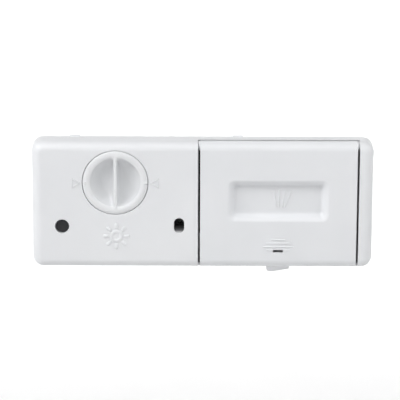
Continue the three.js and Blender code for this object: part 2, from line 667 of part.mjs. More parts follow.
motorScrews.forEach((at, i) => {
  const head = motor.front + 3 + GAP;
  place(`motor_screw_${i + 1}`, screw(at, 3.2, 1.6, [head, head + 2], cup.back - 0.9), steel);
});
coverScrews.forEach((at, i) => {
  const head = cover.back + GAP;
  place(`cover_screw_${i + 1}`, screw(at, 3.4, 1.4, [head, head + 2.2], 21), steel);
});
clampScrews.forEach((at, i) => {
  place(`clamp_screw_${i + 1}`, screw(at, 3.2, 1.8, [5.3, 7.3], -2.6), steel);
});
place("clamp_left", clampBar(-1), steel);
place("clamp_right", clampBar(1), steel);

export default dispenser;
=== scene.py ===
"""Looks of the dishwasher dispenser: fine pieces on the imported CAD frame, materials, studio and camera.

+X is right, +Z is up and -Y is the side that faces the wash tub. Lengths are written in millimetres, which
mm() and object_of() turn into metres. Only the floor's and the lights' are written in metres.
"""

import json
import math

import bmesh
import bpy
from mathutils import Matrix, Vector


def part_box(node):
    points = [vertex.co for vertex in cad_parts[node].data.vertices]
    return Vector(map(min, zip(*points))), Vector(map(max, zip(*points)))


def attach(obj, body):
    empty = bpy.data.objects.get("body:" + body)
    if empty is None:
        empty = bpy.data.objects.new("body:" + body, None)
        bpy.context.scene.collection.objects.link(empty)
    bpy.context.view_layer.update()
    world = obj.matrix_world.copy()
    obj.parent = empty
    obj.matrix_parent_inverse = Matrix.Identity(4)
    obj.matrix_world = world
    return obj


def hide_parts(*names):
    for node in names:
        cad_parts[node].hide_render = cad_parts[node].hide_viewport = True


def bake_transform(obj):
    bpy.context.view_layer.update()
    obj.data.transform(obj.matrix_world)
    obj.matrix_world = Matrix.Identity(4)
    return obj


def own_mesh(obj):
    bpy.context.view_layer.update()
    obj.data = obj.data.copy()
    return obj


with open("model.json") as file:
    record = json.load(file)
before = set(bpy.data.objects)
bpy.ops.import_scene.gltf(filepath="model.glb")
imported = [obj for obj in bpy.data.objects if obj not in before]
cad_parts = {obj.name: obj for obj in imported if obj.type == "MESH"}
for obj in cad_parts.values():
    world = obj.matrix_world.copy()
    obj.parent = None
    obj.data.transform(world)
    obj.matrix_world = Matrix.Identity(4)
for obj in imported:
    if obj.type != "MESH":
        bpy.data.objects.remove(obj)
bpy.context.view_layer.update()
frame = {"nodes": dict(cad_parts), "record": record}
scene = bpy.context.scene


def mm(*values):
    """Millimetres as metres: a number for one value, a Vector for three."""
    scaled = [value / 1000 for value in values]
    return Vector(scaled) if len(scaled) > 1 else scaled[0]


def box_mm(node):
    """A CAD node's lowest and highest corner in millimetres."""
    low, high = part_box(node)
    return [1000 * v for v in low], [1000 * v for v in high]


def middle_mm(node):
    """The middle of a CAD node's box in millimetres."""
    low, high = box_mm(node)
    return [(a + b) / 2 for a, b in zip(low, high)]


# ---- places read from the frame ----
FACE = box_mm("front_housing")[0][1]
LID_LOW, LID_HIGH = box_mm("detergent_lid")
CAP_LOW, CAP_HIGH = box_mm("rinse_cap")
LENS_LOW, LENS_HIGH = box_mm("sight_lens")
CAP_X, _, CAP_Z = middle_mm("rinse_cap")
LENS_X, _, LENS_Z = middle_mm("sight_lens")
LID_X = middle_mm("detergent_lid")[0]
CAP_RADIUS = (CAP_HIGH[2] - CAP_LOW[2]) / 2

# ---- sizes of the fine shapes ----
CREST = FACE - 0.4  # the flat of the cap's rim
CAP_MARK = CAP_Z - 0.2  # the height of the cap's ticks and arrows
PLUG_RADIUS = 18.2
BOWL_CORNER = 1.9
BOWL_DEPTH = 10.2
BOWL_MIDDLE = 6.8  # from the cap's middle to the deepest place of each bowl
LENS_RADIUS = 4.45
OUTLET = {"frame": 1.8, "lip": 4.4, "slack": 0.05}
DISH = {"width": 72, "height": 31, "z": 3.5, "depth": 5.5, "radius": 5}
SLOT = {"z": -33.4, "width": 7, "height": 1.9, "frame": 1.2}
GRIP = ((-24.8, 9.8), (-27.35, 17.2), (-29.9, 21.8))  # z and length of each ridge
RIDGE = {"width": 1, "height": 0.4}
HALF_RIDGE = {"z": 0.95, "reach": (4.7, 8.1)}  # the short ridges beside the slot, above its middle
SUN = {"x": -60.8, "z": -22.4, "rays": 8, "reach": (6.4, 8.3), "width": 2.5, "height": 0.55}
ARROW = {"tip": 1.8, "base": 7.2, "half": 3.2, "width": 0.8, "height": 0.45}
TICK = {"reach": (20.8, 22), "width": 1.4, "height": 0.5, "foot": 0.15}  # foot: behind the crest
FAN = {"width": 1, "height": 0.45}
ROOT = 0.15  # how far a raised mark reaches into the face that carries it
SKIN = 0.005  # keeps a cut off the plane of the face that it meets
AXIS = 0.02  # a turned profile's ends stop this close to the axis
FACE_SOFTNESS = 0.35  # how far the housing's and the lid's edges are rounded


# ---- materials ----
class Paint:
    """A Principled material whose colour, roughness and bump come from noise in object coordinates."""

    def __init__(self, name, metallic=0.0, ior=1.49):
        self.material = bpy.data.materials.new(name)
        self.material.use_nodes = True
        self.nodes = self.material.node_tree.nodes
        self.links = self.material.node_tree.links
        self.shader = self.nodes["Principled BSDF"]
        self.shader.inputs["Metallic"].default_value = metallic
        self.shader.inputs["IOR"].default_value = ior
        self.place = self.nodes.new("ShaderNodeTexCoord").outputs["Object"]
        self.normal = None

    def noise(self, scale, detail, stretch=(1, 1, 1)):
        """Noise in the piece's own coordinates."""
        mapping = self.nodes.new("ShaderNodeMapping")
        mapping.inputs["Scale"].default_value = stretch
        self.links.new(self.place, mapping.inputs["Vector"])
        texture = self.nodes.new("ShaderNodeTexNoise")
        texture.inputs["Scale"].default_value = scale
        texture.inputs["Detail"].default_value = detail
        self.links.new(mapping.outputs["Vector"], texture.inputs["Vector"])
        return texture.outputs["Fac"]

    def ramp(self, value, low, high, start=0.35, end=0.65):
        """A colour that runs from low to high as the value passes from start to end."""
        ramp = self.nodes.new("ShaderNodeValToRGB")
        ramp.color_ramp.elements[0].position = start
        ramp.color_ramp.elements[1].position = end
        ramp.color_ramp.elements[0].color = (*low, 1)
        ramp.color_ramp.elements[1].color = (*high, 1)
        self.links.new(value, ramp.inputs["Fac"])
        return ramp.outputs["Color"]

    def colour(self, value, low, high):
        """Lets the value pick a base colour between low and high."""
        self.links.new(self.ramp(value, low, high), self.shader.inputs["Base Color"])

    def roughness(self, value, low, high):
        """Lets the value's middle part pick a roughness between low and high."""
        spread = self.nodes.new("ShaderNodeMapRange")
        spread.inputs["From Min"].default_value = 0.3
        spread.inputs["From Max"].default_value = 0.7
        spread.inputs["To Min"].default_value = low
        spread.inputs["To Max"].default_value = high
        self.links.new(value, spread.inputs["Value"])
        self.links.new(spread.outputs["Result"], self.shader.inputs["Roughness"])

    def bump(self, value, height_mm, strength):
        """Adds relief of this height on top of the relief that is already there."""
        bump = self.nodes.new("ShaderNodeBump")
        bump.inputs["Distance"].default_value = mm(height_mm)
        bump.inputs["Strength"].default_value = strength
        self.links.new(value, bump.inputs["Height"])
        if self.normal:
            self.links.new(self.normal, bump.inputs["Normal"])
        self.normal = bump.outputs["Normal"]
        self.links.new(self.normal, self.shader.inputs["Normal"])


def moulded_plastic(name, low, high, roughness, grain_mm=0.006, ior=1.49):
    """Injection-moulded plastic: a spark-eroded grain, a slight unevenness and a faint change of tone."""
    paint = Paint(name, ior=ior)
    paint.colour(paint.noise(14, 3), low, high)
    paint.roughness(paint.noise(160, 3), roughness - 0.06, roughness + 0.07)
    paint.bump(paint.noise(26, 1), 0.05, 0.5)
    paint.bump(paint.noise(2200, 3), grain_mm, 0.6)
    return paint.material


def rubber(name, low, high):
    """Vulcanised rubber: a dry bloom in patches over a fine matte skin."""
    paint = Paint(name, ior=1.52)
    paint.colour(paint.noise(60, 5), low, high)
    paint.roughness(paint.noise(220, 3), 0.68, 0.9)
    paint.bump(paint.noise(1500, 4), 0.02, 0.7)
    return paint.material


def rolled_metal(name, low, high, roughness, stretch):
    """Rolled or plated metal: fine streaks along one direction and a slow change of tone."""
    paint = Paint(name, metallic=1.0)
    paint.colour(paint.noise(70, 4), low, high)
    streaks = paint.noise(900, 3, stretch)
    paint.roughness(streaks, roughness - 0.08, roughness + 0.1)
    paint.bump(streaks, 0.004, 0.5)
    return paint.material


def spout_painted_shade(name, bottom, top):
    """Matt dark plastic whose colour runs from pale grey at its lower edge to near black higher up: painted
    light and shade for the light that reaches less and less far into the outlet's opening.
    """
    paint = Paint(name)
    split = paint.nodes.new("ShaderNodeSeparateXYZ")
    paint.links.new(paint.place, split.inputs["Vector"])
    height = paint.nodes.new("ShaderNodeMapRange")
    height.inputs["From Min"].default_value = mm(bottom)
    height.inputs["From Max"].default_value = mm(top)
    paint.links.new(split.outputs["Z"], height.inputs["Value"])
    # painted shade: pale grey at the lip's foot, darkening to near black higher up the opening
    painted_shade_colours = paint.ramp(height.outputs["Result"], (0.68, 0.69, 0.7), (0.01, 0.01, 0.011), 0.02, 0.8)
    middle = painted_shade_colours.node.color_ramp.elements.new(0.38)
    middle.color = (0.1, 0.1, 0.105, 1)
    paint.links.new(painted_shade_colours, paint.shader.inputs["Base Color"])
    paint.roughness(paint.noise(300, 3), 0.75, 0.9)
    paint.bump(paint.noise(1800, 2), 0.003, 0.5)
    return paint.material


WHITE = moulded_plastic("white_plastic", (0.78, 0.79, 0.81), (0.815, 0.825, 0.84), 0.4)
LID_WHITE = moulded_plastic("lid_white_plastic", (0.77, 0.785, 0.805), (0.805, 0.815, 0.835), 0.38)
# the latch's pale bluish white is its own; its extra brightness over the other white plastics is painted
# light for the shade that the housing's lower edge casts on the tab
LATCH_WHITE_PAINTED_LIGHT = moulded_plastic("latch_white_painted_light", (0.89, 0.895, 0.92), (0.91, 0.915, 0.935), 0.4)
CAP_WHITE = moulded_plastic("cap_white_plastic", (0.775, 0.785, 0.8), (0.815, 0.825, 0.835), 0.36)
NATURAL = moulded_plastic("natural_plastic", (0.62, 0.65, 0.62), (0.7, 0.72, 0.69), 0.34, 0.004, 1.5)
MOTOR_BLACK = moulded_plastic("motor_plastic", (0.016, 0.016, 0.018), (0.026, 0.026, 0.028), 0.48, 0.01)
OUTLET_BLACK = moulded_plastic("outlet_plastic", (0.018, 0.018, 0.02), (0.03, 0.03, 0.032), 0.42, 0.008)
LENS_BLACK = moulded_plastic("lens_plastic", (0.012, 0.012, 0.014), (0.018, 0.018, 0.021), 0.32, 0.002, 1.5)
DARK_RUBBER = rubber("dark_rubber", (0.016, 0.016, 0.017), (0.034, 0.034, 0.035))
GREY_RUBBER = rubber("grey_rubber", (0.25, 0.26, 0.26), (0.32, 0.33, 0.33))
STEEL = rolled_metal("rolled_steel", (0.52, 0.53, 0.54), (0.62, 0.62, 0.62), 0.32, (1, 1, 0.04))
WIRE_STEEL = rolled_metal("spring_steel", (0.42, 0.43, 0.44), (0.56, 0.56, 0.57), 0.26, (1, 1, 1))
ZINC = rolled_metal("zinc_plate", (0.5, 0.51, 0.53), (0.64, 0.63, 0.58), 0.28, (1, 1, 1))
BRASS = rolled_metal("tinned_brass", (0.56, 0.5, 0.33), (0.66, 0.6, 0.44), 0.27, (1, 0.05, 1))


# ---- mesh tools ----
def object_of(name, bm):
    """A new object from a bmesh given in millimetres, its faces turned outwards and shaded smooth."""
    bmesh.ops.recalc_face_normals(bm, faces=bm.faces)
    bmesh.ops.scale(bm, vec=(0.001, 0.001, 0.001), verts=bm.verts)
    mesh = bpy.data.meshes.new(name)
    bm.to_mesh(mesh)
    bm.free()
    mesh.shade_smooth()
    piece = bpy.data.objects.new(name, mesh)
    scene.collection.objects.link(piece)
    return piece


def loft(name, rings, closed=False):
    """A skin over rings of points, capped at both ends, or closed on itself like a frame."""
    bm = bmesh.new()
    loops = [[bm.verts.new(point) for point in ring] for ring in rings]
    count = len(rings[0])
    pairs = list(zip(loops, loops[1:]))
    if closed:
        pairs.append((loops[-1], loops[0]))
    for first, second in pairs:
        for i in range(count):
            k = (i + 1) % count
            bm.faces.new((first[i], first[k], second[k], second[i]))
    if not closed:
        bm.faces.new(loops[0])
        bm.faces.new(loops[-1][::-1])
    return object_of(name, bm)


def rounded_rect(x, z, radius, y):
    """A ring of points round a rectangle with round corners, at one depth."""
    steps = 8
    ring = []
    middles = [
        (x[1] - radius, z[1] - radius, 0),
        (x[0] + radius, z[1] - radius, 90),
        (x[0] + radius, z[0] + radius, 180),
        (x[1] - radius, z[0] + radius, 270),
    ]
    for cx, cz, start in middles:
        for i in range(steps + 1):
            angle = math.radians(start + 90 * i / steps)
            ring.append((cx + radius * math.cos(angle), y, cz + radius * math.sin(angle)))
    return ring


def circle(x, z, radius, y, sides=96):
    """A ring of points on a circle at one depth."""
    angles = [2 * math.pi * i / sides for i in range(sides)]
    return [(x + radius * math.cos(a), y, z + radius * math.sin(a)) for a in angles]


def turned(name, x, z, profile, sides=96):
    """A turned piece about a Y axis. The profile is a list of (radius, y), from one end to the other."""
    return loft(name, [circle(x, z, radius, y, sides) for radius, y in profile])


def frame_ring(name, x, z, radius, section):
    """A gasket: a section of (growth, y) points carried round a rectangle with round corners."""
    rings = []
    for grow, y in section:
        wide = (x[0] - grow, x[1] + grow)
        tall = (z[0] - grow, z[1] + grow)
        rings.append(rounded_rect(wide, tall, radius + grow, y))
    return loft(name, rings, closed=True)


def block(name, low, high):
    """A plain box between two corners, used only as a tool for cutting and filling."""
    corners = [(low[0], low[2]), (high[0], low[2]), (high[0], high[2]), (low[0], high[2])]
    return loft(name, [[(x, y, z) for x, z in corners] for y in (low[1], high[1])])


def stadium(start, end, width, y):
    """A ring of points round a bar with round ends, lying in an X-Z plane."""
    steps = 6
    along = math.atan2(end[1] - start[1], end[0] - start[0])
    ring = []
    for (x, z), turn in ((end, -90), (start, 90)):
        for i in range(steps + 1):
            angle = along + math.radians(turn + 180 * i / steps)
            ring.append((x + width / 2 * math.cos(angle), y, z + width / 2 * math.sin(angle)))
    return ring


def raised_bar(name, start, end, width, height, face):
    """A moulded mark: a low bar with round ends and soft shoulders, standing out of a face towards -Y."""
    levels = ((width, ROOT), (width, -0.3 * height), (width * 0.82, -0.8 * height), (width * 0.5, -height))
    return loft(name, [stadium(start, end, w, face + y) for w, y in levels])


def joined(pieces):
    """Several objects' meshes in the first of them."""
    bm = bmesh.new()
    for piece in pieces:
        bm.from_mesh(piece.data)
    for piece in pieces[1:]:
        bpy.data.objects.remove(piece)
    bm.to_mesh(pieces[0].data)
    bm.free()
    return pieces[0]


def evaluated_mesh(piece):
    """A new mesh of the piece as its modifiers or its curve settings leave it."""
    graph = bpy.context.evaluated_depsgraph_get()
    return bpy.data.meshes.new_from_object(piece.evaluated_get(graph))


def baked(piece):
    """Applies the piece's modifiers to its mesh."""
    mesh = evaluated_mesh(piece)
    piece.modifiers.clear()
    piece.data = mesh


def combine(piece, tool, operation):
    """Cuts the tool out of the piece, or adds it, and removes the tool."""
    step = piece.modifiers.new(operation, "BOOLEAN")
    step.operation = operation
    step.solver = "EXACT"
    step.object = tool
    baked(piece)
    bpy.data.objects.remove(tool)


def crisp(piece, degrees):
    """Keeps the shading sharp across edges steeper than this angle."""
    piece.modifiers.new("edges", "EDGE_SPLIT").split_angle = math.radians(degrees)


def flattened(piece, seams=()):
    """Merges the triangles of each flat face, so that a bevel meets whole faces.

    Each seam is an x at which faces stay cut, so that a ring round a hole is two clean halves.
    """
    weld = mm(0.002)
    bm = bmesh.new()
    bm.from_mesh(piece.data)
    bmesh.ops.remove_doubles(bm, verts=bm.verts, dist=weld)
    for x in seams:
        geometry = bm.verts[:] + bm.edges[:] + bm.faces[:]
        bmesh.ops.bisect_plane(bm, geom=geometry, dist=weld, plane_co=(mm(x), 0, 0), plane_no=(1, 0, 0))
    kept = set()
    for edge in bm.edges:
        if any(all(abs(vert.co.x - mm(x)) < 2 * weld for vert in edge.verts) for x in seams):
            kept.add(edge)
    merged = [edge for edge in bm.edges if edge not in kept]
    corners = [vert for vert in bm.verts if not any(edge in kept for edge in vert.link_edges)]
    flat = math.radians(0.6)
    bmesh.ops.dissolve_limit(bm, angle_limit=flat, verts=corners, edges=merged, delimit={"NORMAL"})
    bm.to_mesh(piece.data)
    bm.free()


def softened(piece, width, segments=2, seams=()):
    """Rounds every sharp edge a little, as moulding does, and keeps the flats' shading flat."""
    flattened(piece, seams)
    piece.data.shade_smooth()
    bevel = piece.modifiers.new("soft edges", "BEVEL")
    bevel.width = mm(width)
    bevel.segments = segments
    bevel.limit_method = "ANGLE"
    bevel.angle_limit = math.radians(32)
    bevel.use_clamp_overlap = False
    bevel.miter_outer = "MITER_ARC"
    level_shading(piece)
    return piece


def level_shading(piece):
    """Lets the large flat faces set the shading, so that it stays even up to the rounded edges."""
    piece.modifiers.new("flat shading", "WEIGHTED_NORMAL").weight = 80


def copy_of(node):
    """A piece that starts from a copy of a CAD node's mesh."""
    piece = bpy.data.objects.new(node + "_fine", frame["nodes"][node].data.copy())
    scene.collection.objects.link(piece)
    flattened(piece)
    return piece


def body_of(node):
    """The CAD body that a node belongs to."""
    for body, nodes in frame["record"]["behaviour"]["bodies"].items():
        if node in nodes:
            return body
    raise KeyError(node)


def stand_for(piece, node, material):
    """The piece takes a CAD node's place: its body and a material of its own."""
    piece.data.materials.clear()
    piece.data.materials.append(material)
    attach(piece, body_of(node))
    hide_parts(node)


# ---- camera, light and floor ----
# angles in degrees, distance and aim in millimetres; the lens is for a 36 mm wide sensor
CAMERA = {"pitch": 16.4, "roll": 0.19, "distance": 1748, "aim": (-1.78, FACE, 4.41), "lens": 223.7}
WORLD_LIGHT = 0.06
# the floor's height, its flat part, the curve up to the wall and the wall's top above the floor, in metres
FLOOR = -0.6
FLOOR_RADIUS = 2.2
SWEEP_RADIUS = 1
WALL_TOP = 2.4
LIGHTS = (
    # name, place and target in metres, size, watts
    ("key", (-0.5, -1.3, 1.7), (0, 0, 0), (1.4, 1.2), 16.5),
    ("left", (-1.5, -0.6, 1.2), (0, 0, 0), (1.4, 1.0), 22),
    ("right", (1.5, -0.6, 1.2), (0, 0, 0), (1.4, 1.0), 14),
    ("wall_back", (0, 1.9, 1), (0, 2.86, FLOOR), (3, 0.8), 34),
    ("wall_front", (0, -1.9, 1), (0, -2.86, FLOOR), (3, 0.8), 4),
    ("wall_left", (-1.9, 0, 1), (-2.86, 0, FLOOR), (3, 0.8), 6),
    ("wall_right", (1.9, 0, 1), (2.86, 0, FLOOR), (3, 0.8), 6),
)


def look_at(thing, target, roll=0.0):
    """Turns a camera or light from its own place towards the target."""
    direction = (target - thing.location).normalized()
    turn = direction.to_track_quat("-Z", "Y").to_matrix().to_4x4()
    thing.matrix_world = Matrix.Translation(thing.location) @ turn @ Matrix.Rotation(roll, 4, "Z")


def add_camera():
    """A long lens straight in front of the face, looking down at it a little."""
    pitch = math.radians(CAMERA["pitch"])
    distance = CAMERA["distance"]
    aim = mm(*CAMERA["aim"])
    camera = bpy.data.objects.new("camera", bpy.data.cameras.new("camera"))
    scene.collection.objects.link(camera)
    camera.data.lens = CAMERA["lens"]
    camera.data.sensor_width = 36
    camera.data.clip_end = 20
    camera.location = aim + mm(0, -distance * math.cos(pitch), distance * math.sin(pitch))
    look_at(camera, aim, math.radians(CAMERA["roll"]))
    scene.camera = camera


def add_area(name, place, target, size, power):
    """A rectangular area light."""
    light = bpy.data.objects.new(name, bpy.data.lights.new(name, "AREA"))
    scene.collection.objects.link(light)
    light.data.shape = "RECTANGLE"
    light.data.size, light.data.size_y = size
    light.data.energy = power
    light.location = place
    look_at(light, Vector(target))


def add_floor():
    """A round pale floor that sweeps up into a wall on all sides."""
    steps = 10
    profile = [(0.01, 0), (FLOOR_RADIUS, 0)]
    for i in range(1, steps + 1):
        angle = math.radians(90 * i / steps)
        profile.append((FLOOR_RADIUS + SWEEP_RADIUS * math.sin(angle), SWEEP_RADIUS * (1 - math.cos(angle))))
    profile.append((FLOOR_RADIUS + SWEEP_RADIUS, WALL_TOP))
    sides = 72
    turns = [2 * math.pi * i / sides for i in range(sides)]
    sweep = bmesh.new()
    rows = []
    for radius, z in profile:
        ring = [(radius * math.cos(turn), radius * math.sin(turn), z + FLOOR) for turn in turns]
        rows.append([sweep.verts.new(point) for point in ring])
    sweep.faces.new(rows[0])
    for low, high in zip(rows, rows[1:]):
        for i in range(sides):
            k = (i + 1) % sides
            sweep.faces.new((low[i], high[i], high[k], low[k]))
    bmesh.ops.recalc_face_normals(sweep, faces=sweep.faces)
    mesh = bpy.data.meshes.new("floor")
    sweep.to_mesh(mesh)
    sweep.free()
    mesh.shade_smooth()
    floor = bpy.data.objects.new("floor", mesh)
    scene.collection.objects.link(floor)
    paint = Paint("pale_floor")
    paint.colour(paint.noise(3, 2), (0.86, 0.86, 0.86), (0.88, 0.88, 0.88))
    paint.roughness(paint.noise(20, 2), 0.85, 0.95)
    mesh.materials.append(paint.material)


def add_lights():
    """A key light, a light on each side, four lights on the wall, and a dim white surrounding."""
    world = bpy.data.worlds.new("studio")
    scene.world = world
    world.use_nodes = True
    background = world.node_tree.nodes["Background"]
    background.inputs["Color"].default_value = (1, 1, 1, 1)
    background.inputs["Strength"].default_value = WORLD_LIGHT
    for light in LIGHTS:
        add_area(*light)
    scene.view_settings.view_transform = "Standard"
    scene.view_settings.look = "None"


# ---- front ----
def sun_mark():
    """The raised rinse-aid symbol: a ring with eight rays round it."""
    x, z = SUN["x"], SUN["z"]
    # radius, and y from the face
    section = [(2.2, ROOT), (2.2, -0.2), (2.6, -0.45), (3.4, -0.55)]
    section += [(4.2, -0.45), (4.6, -0.2), (4.6, ROOT)]
    rings = [circle(x, z, radius, FACE + y, 48) for radius, y in section]
    marks = [loft("sun", rings, closed=True)]
    for i in range(SUN["rays"]):
        angle = math.radians(360 / SUN["rays"] * i)
        ends = [(x + r * math.cos(angle), z + r * math.sin(angle)) for r in SUN["reach"]]
        marks.append(raised_bar("ray", *ends, SUN["width"], SUN["height"], FACE))
    return joined(marks)


def cap_arrows():
    """A triangle outline on each side of the cap, pointing at the cap's marks."""
    bars = []
    for side in (-1, 1):
        tip = (CAP_X + side * (CAP_RADIUS + ARROW["tip"]), CAP_MARK)
        x = CAP_X + side * (CAP_RADIUS + ARROW["base"])
        low, high = (x, CAP_MARK - ARROW["half"]), (x, CAP_MARK + ARROW["half"])
        for start, end in ((tip, low), (tip, high), (low, high)):
            bars.append(raised_bar("arrow", start, end, ARROW["width"], ARROW["height"], FACE))
    return joined(bars)


def outlet_lip():
    """The outlet's lower lip, which fills the opening's round foot and curves out to the face."""
    low = box_mm("outlet_nozzle")[0]
    x = middle_mm("outlet_nozzle")[0]
    bottom = low[2] + OUTLET["frame"] + OUTLET["slack"]
    reach = x - low[0] - OUTLET["frame"] - OUTLET["slack"]
    back = FACE + 3.6
    steps = 12
    rings = []
    for i in range(steps + 1):
        rise = 0.15 + OUTLET["lip"] * i / steps
        half = math.sqrt(reach**2 - max(reach - rise, 0) ** 2)
        front = FACE + 0.1 + 3.2 * (i / steps) ** 1.4
        z = bottom + rise
        rings.append([(x - half, front, z), (x + half, front, z), (x + half, back, z), (x - half, back, z)])
    lip = loft("outlet_lip", rings)
    crisp(lip, 40)
    # the lip's colour is painted light and shade, pale at its foot and dark higher up
    lip.data.materials.append(spout_painted_shade("spout_painted_shade", bottom, bottom + OUTLET["lip"]))
    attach(lip, "housing")


def add_mark(name, mark, body, material):
    """A raised mark becomes a piece of its own on a body."""
    mark.name = name
    mark.data.materials.append(material)
    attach(mark, body)


def build_housing():
    """The housing with soft edges, the symbols on its face and the outlet's lip."""
    holes = ("rinse_cap", "sight_lens", "outlet_nozzle", "detergent_lid")
    seams = [middle_mm(node)[0] for node in holes]
    housing = softened(copy_of("front_housing"), FACE_SOFTNESS, 3, seams)
    stand_for(housing, "front_housing", WHITE)
    add_mark("rinse_symbol", sun_mark(), "housing", WHITE)
    add_mark("cap_arrows", cap_arrows(), "housing", WHITE)
    outlet_lip()


def dish_cutter():
    """The prewash dish: a soft lip, walls that slope in, and a soft foot where they meet the floor."""
    # depth below the face, and how far the wall has come in from the lip
    wall = ((-0.5, 0), (0, 0), (0.12, 0.5), (0.35, 1.1), (0.8, 1.9), (1.5, 2.7), (2.6, 3.6), (3.8, 4.3))
    wall += ((4.7, 4.8), (5.1, 5.3), (5.35, 6), (DISH["depth"], 7))
    rings = []
    for depth, inset in wall:
        half = DISH["width"] / 2 - inset, DISH["height"] / 2 - inset
        x = (LID_X - half[0], LID_X + half[0])
        z = (DISH["z"] - half[1], DISH["z"] + half[1])
        rings.append(rounded_rect(x, z, max(DISH["radius"] - 0.5 * inset, 1.6), FACE + depth))
    return loft("dish", rings)


def fan_mark():
    """Four fine lines that spread upwards on the dish's floor."""
    floor = FACE + DISH["depth"]
    width, height = FAN["width"], FAN["height"]
    lines = (
        ((52.3, -2.1), (50.4, 9.5)),
        ((53.8, -2.1), (53.9, 10.1)),
        ((56.0, -2.1), (58.6, 9.8)),
        ((58.0, -2.1), (62.6, 8.8)),
    )
    return joined([raised_bar("fan", start, end, width, height, floor) for start, end in lines])


def grip_marks():
    """The finger ridges, and the low frame round the hook's slot."""
    marks = []
    for z, width in GRIP:
        half = (width - RIDGE["width"]) / 2
        ends = ((LID_X - half, z), (LID_X + half, z))
        marks.append(raised_bar("ridge", *ends, RIDGE["width"], RIDGE["height"], FACE))
    for side in (-1, 1):
        ends = [(LID_X + side * reach, SLOT["z"] + HALF_RIDGE["z"]) for reach in HALF_RIDGE["reach"]]
        marks.append(raised_bar("ridge", *ends, RIDGE["width"], RIDGE["height"], FACE))
    half = SLOT["width"] / 2, SLOT["height"] / 2
    frame_width = SLOT["frame"]
    # distance from the slot's edge, and y from the face
    section = [(0, ROOT), (0, -0.25), (0.2, -0.38)]
    section += [(frame_width - 0.3, -0.38), (frame_width, -0.1), (frame_width, ROOT)]
    x = (LID_X - half[0], LID_X + half[0])
    z = (SLOT["z"] - half[1], SLOT["z"] + half[1])
    marks.append(frame_ring("slot_frame", x, z, 0.2, section))
    return joined(marks)


def build_lid():
    """The lid: the CAD's ridges and dish give way to finer ones."""
    lid = copy_of("detergent_lid")
    ridges_low = (LID_LOW[0] - 1, LID_LOW[1] - 1, LID_LOW[2] - 1)
    ridges_high = (LID_HIGH[0] + 1, FACE + SKIN, LID_HIGH[2] + 1)
    combine(lid, block("ridges", ridges_low, ridges_high), "DIFFERENCE")
    wall = 1.5
    half = DISH["width"] / 2 + wall, DISH["height"] / 2 + wall
    low = (LID_X - half[0], FACE + SKIN, DISH["z"] - half[1])
    high = (LID_X + half[0], FACE + DISH["depth"] + wall, DISH["z"] + half[1])
    combine(lid, block("infill", low, high), "UNION")
    softened(lid, FACE_SOFTNESS, 3)
    baked(lid)
    combine(lid, dish_cutter(), "DIFFERENCE")
    level_shading(lid)
    stand_for(lid, "detergent_lid", LID_WHITE)
    add_mark("prewash_symbol", fan_mark(), "lid", LID_WHITE)
    add_mark("grip_ridges", grip_marks(), "lid", LID_WHITE)


def half_round(side, radius, flat, y):
    """A D-shaped ring with soft corners: an arc about the cap's middle and a flat beside the rib."""
    arc_steps, corner_steps, flat_steps = 31, 8, 15
    corner = BOWL_CORNER
    spread = math.acos((flat + corner) / (radius - corner))
    turn = (radius - corner) * math.cos(spread), (radius - corner) * math.sin(spread)
    points = []
    for i in range(arc_steps + 1):
        angle = spread * (2 * i / arc_steps - 1)
        points.append((radius * math.cos(angle), radius * math.sin(angle)))
    for i in range(1, corner_steps + 1):
        angle = spread + (math.pi - spread) * i / corner_steps
        points.append((turn[0] + corner * math.cos(angle), turn[1] + corner * math.sin(angle)))
    for i in range(1, flat_steps):
        points.append((flat, turn[1] * (1 - 2 * i / flat_steps)))
    for i in range(corner_steps):
        angle = math.pi + (math.pi - spread) * i / corner_steps
        points.append((turn[0] + corner * math.cos(angle), corner * math.sin(angle) - turn[1]))
    return [(CAP_X + side * x, y, CAP_Z + z) for x, z in points]


def finger_bowl(side):
    """One half of the cap's round bowl, with a soft lip and a drafted wall along the rib."""
    # depth below the crest, the bowl's radius, the rib's half width
    wall = (
        (-0.5, 19.8, 0.65),
        (-0.03, 19.7, 0.7),
        (0.1, 19.2, 0.95),
        (0.3, 18.7, 1.05),
        (0.55, 18.1, 1.1),
        (0.85, 17.75, 1.15),
        (1.3, 17.6, 1.2),
        (2.2, 17.45, 1.25),
        (3.6, 17, 1.4),
        (5.2, 16.1, 1.65),
        (6.8, 14.7, 2.1),
        (8.2, 12.8, 2.7),
        (9.2, 10.9, 3.3),
    )
    rings = [half_round(side, radius, flat, CREST + y) for y, radius, flat in wall]
    middle = CAP_X + side * BOWL_MIDDLE
    foot = [(x - middle, z - CAP_Z) for x, _, z in rings[-1]]
    mean = sum(math.hypot(x, z) for x, z in foot) / len(foot)
    # the floor: rings that shrink towards a small circle as they reach the full depth
    for share in (0.85, 0.7, 0.55, 0.4, 0.25, 0.1):
        ring = []
        for x, z in foot:
            reach = share * (share + (1 - share) * mean / math.hypot(x, z))
            ring.append((middle + reach * x, CREST + BOWL_DEPTH - share**2, CAP_Z + reach * z))
        rings.append(ring)
    return loft("bowl", rings)


def cap_profile():
    """The cap's half section as (radius, y), from the middle of its top over the rim to the plug's end."""
    rim_back = 3.8
    roll = [(AXIS, 0), (20.2, 0), (21.2, 0.1), (22, 0.3), (22.6, 0.6)]
    roll += [(CAP_RADIUS - 0.08, 1.1), (CAP_RADIUS, 1.8), (CAP_RADIUS, rim_back), (PLUG_RADIUS, rim_back)]
    profile = [(radius, CREST + y) for radius, y in roll]
    profile += [(PLUG_RADIUS, CAP_HIGH[1] - 0.6), (PLUG_RADIUS - 0.6, CAP_HIGH[1]), (AXIS, CAP_HIGH[1])]
    return profile


